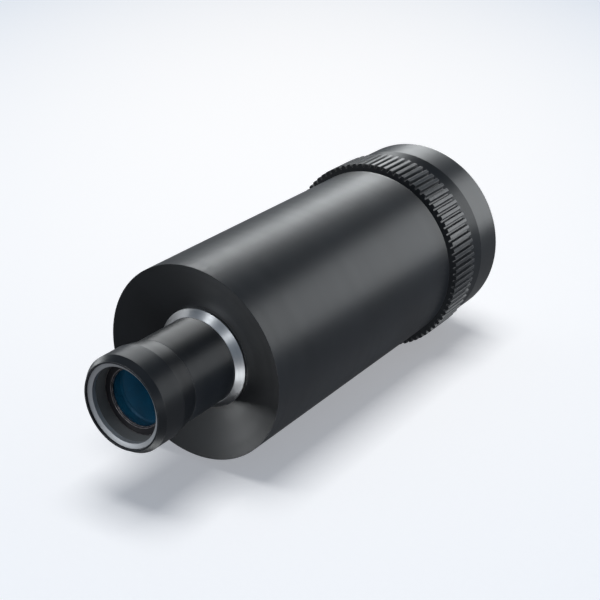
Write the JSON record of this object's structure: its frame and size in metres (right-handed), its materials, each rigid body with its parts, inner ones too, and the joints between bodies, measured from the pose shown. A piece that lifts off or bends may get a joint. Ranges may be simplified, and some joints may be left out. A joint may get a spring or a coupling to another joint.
{
  "type": "telecentric lens",
  "caption": "Machine-vision lens with a slim nose, a plain dark barrel, a ribbed aperture ring that closes a bladed iris, and a threaded camera mount.",
  "frame": {"origin": "centre of the end face of the camera thread, on which the lens stands", "axes": "+Z along the optical axis from the camera end to the nose; +X through the pin that joins the aperture ring to the iris, at rest"},
  "size_m": [0.063, 0.063, 0.16],
  "materials": {
    "black_anodised": "hard black anodised, satin",
    "black_matt": "matt black anodised, light-absorbing",
    "bare_metal": "turned, bare",
    "mount_steel": "turned stainless steel",
    "screw_steel": "blackened steel",
    "spring_steel": "spring steel",
    "blade_steel": "dark lubricated steel leaf",
    "brass_part": "turned brass",
    "coated_glass": "polished, blue anti-reflection coating",
    "washer_plastic": "smooth low-friction plastic"
  },
  "bodies": {
    "housing": {"back_focus_shim": "spring_steel", "baffle_retainer": "black_matt", "baffle_tube": "black_matt", "friction_washer": "washer_plastic", "front_insert_ring": "bare_metal", "front_lens": "coated_glass", "front_retainer": "black_matt", "iris_housing": "black_matt", "iris_retainer": "black_matt", "iris_snap_ring": "spring_steel", "main_barrel": "black_anodised", "mount_ring": "mount_steel", "mount_screws": "screw_steel", "nose_cap": "black_anodised", "nose_collar": "bare_metal", "nose_crown": "coated_glass", "nose_flint": "coated_glass", "nose_retainer": "black_matt", "nose_spacer": "black_matt", "nose_tube": "black_anodised", "rear_cell": "black_matt", "rear_crown": "coated_glass", "rear_flint": "coated_glass", "rear_housing": "black_anodised", "rear_meniscus": "coated_glass", "rear_retainer": "black_matt", "rear_spacer": "black_matt", "relay_cell": "black_matt", "relay_crown": "coated_glass", "relay_flint": "coated_glass", "relay_meniscus": "coated_glass", "relay_retainer": "black_matt", "relay_spacer": "black_matt"},
    "aperture": {"aperture_ring": "black_anodised", "iris_cam_ring": "brass_part", "ring_pin": "screw_steel"},
    "blade_1": {"iris_blade_1": "blade_steel"},
    "blade_2": {"iris_blade_2": "blade_steel"},
    "blade_3": {"iris_blade_3": "blade_steel"},
    "blade_4": {"iris_blade_4": "blade_steel"},
    "blade_5": {"iris_blade_5": "blade_steel"},
    "blade_6": {"iris_blade_6": "blade_steel"}
  },
  "joints": [
    {"name": "aperture_turn", "type": "hinge", "parent": "housing", "child": "aperture", "pos_m": [0, 0, 0.02895], "axis": [0, 0, 1], "range_deg": [0, 45]},
    {"name": "blade_1_swing", "type": "hinge", "parent": "housing", "child": "blade_1", "pos_m": [0.02089, 0.00054, 0.031], "axis": [0, 0, 1], "range_deg": [0, 26]},
    {"name": "blade_2_swing", "type": "hinge", "parent": "housing", "child": "blade_2", "pos_m": [0.00998, 0.01836, 0.031], "axis": [0, 0, 1], "range_deg": [0, 26]},
    {"name": "blade_3_swing", "type": "hinge", "parent": "housing", "child": "blade_3", "pos_m": [-0.01091, 0.01783, 0.031], "axis": [0, 0, 1], "range_deg": [0, 26]},
    {"name": "blade_4_swing", "type": "hinge", "parent": "housing", "child": "blade_4", "pos_m": [-0.02089, -0.00054, 0.031], "axis": [0, 0, 1], "range_deg": [0, 26]},
    {"name": "blade_5_swing", "type": "hinge", "parent": "housing", "child": "blade_5", "pos_m": [-0.00998, -0.01836, 0.031], "axis": [0, 0, 1], "range_deg": [0, 26]},
    {"name": "blade_6_swing", "type": "hinge", "parent": "housing", "child": "blade_6", "pos_m": [0.01091, -0.01783, 0.031], "axis": [0, 0, 1], "range_deg": [0, 26]}
  ],
  "couplings": [
    {"joint": "blade_1_swing", "follows": "aperture_turn", "ratio": 0.5777},
    {"joint": "blade_2_swing", "follows": "aperture_turn", "ratio": 0.5777},
    {"joint": "blade_3_swing", "follows": "aperture_turn", "ratio": 0.5777},
    {"joint": "blade_4_swing", "follows": "aperture_turn", "ratio": 0.5777},
    {"joint": "blade_5_swing", "follows": "aperture_turn", "ratio": 0.5777},
    {"joint": "blade_6_swing", "follows": "aperture_turn", "ratio": 0.5777}
  ]
}
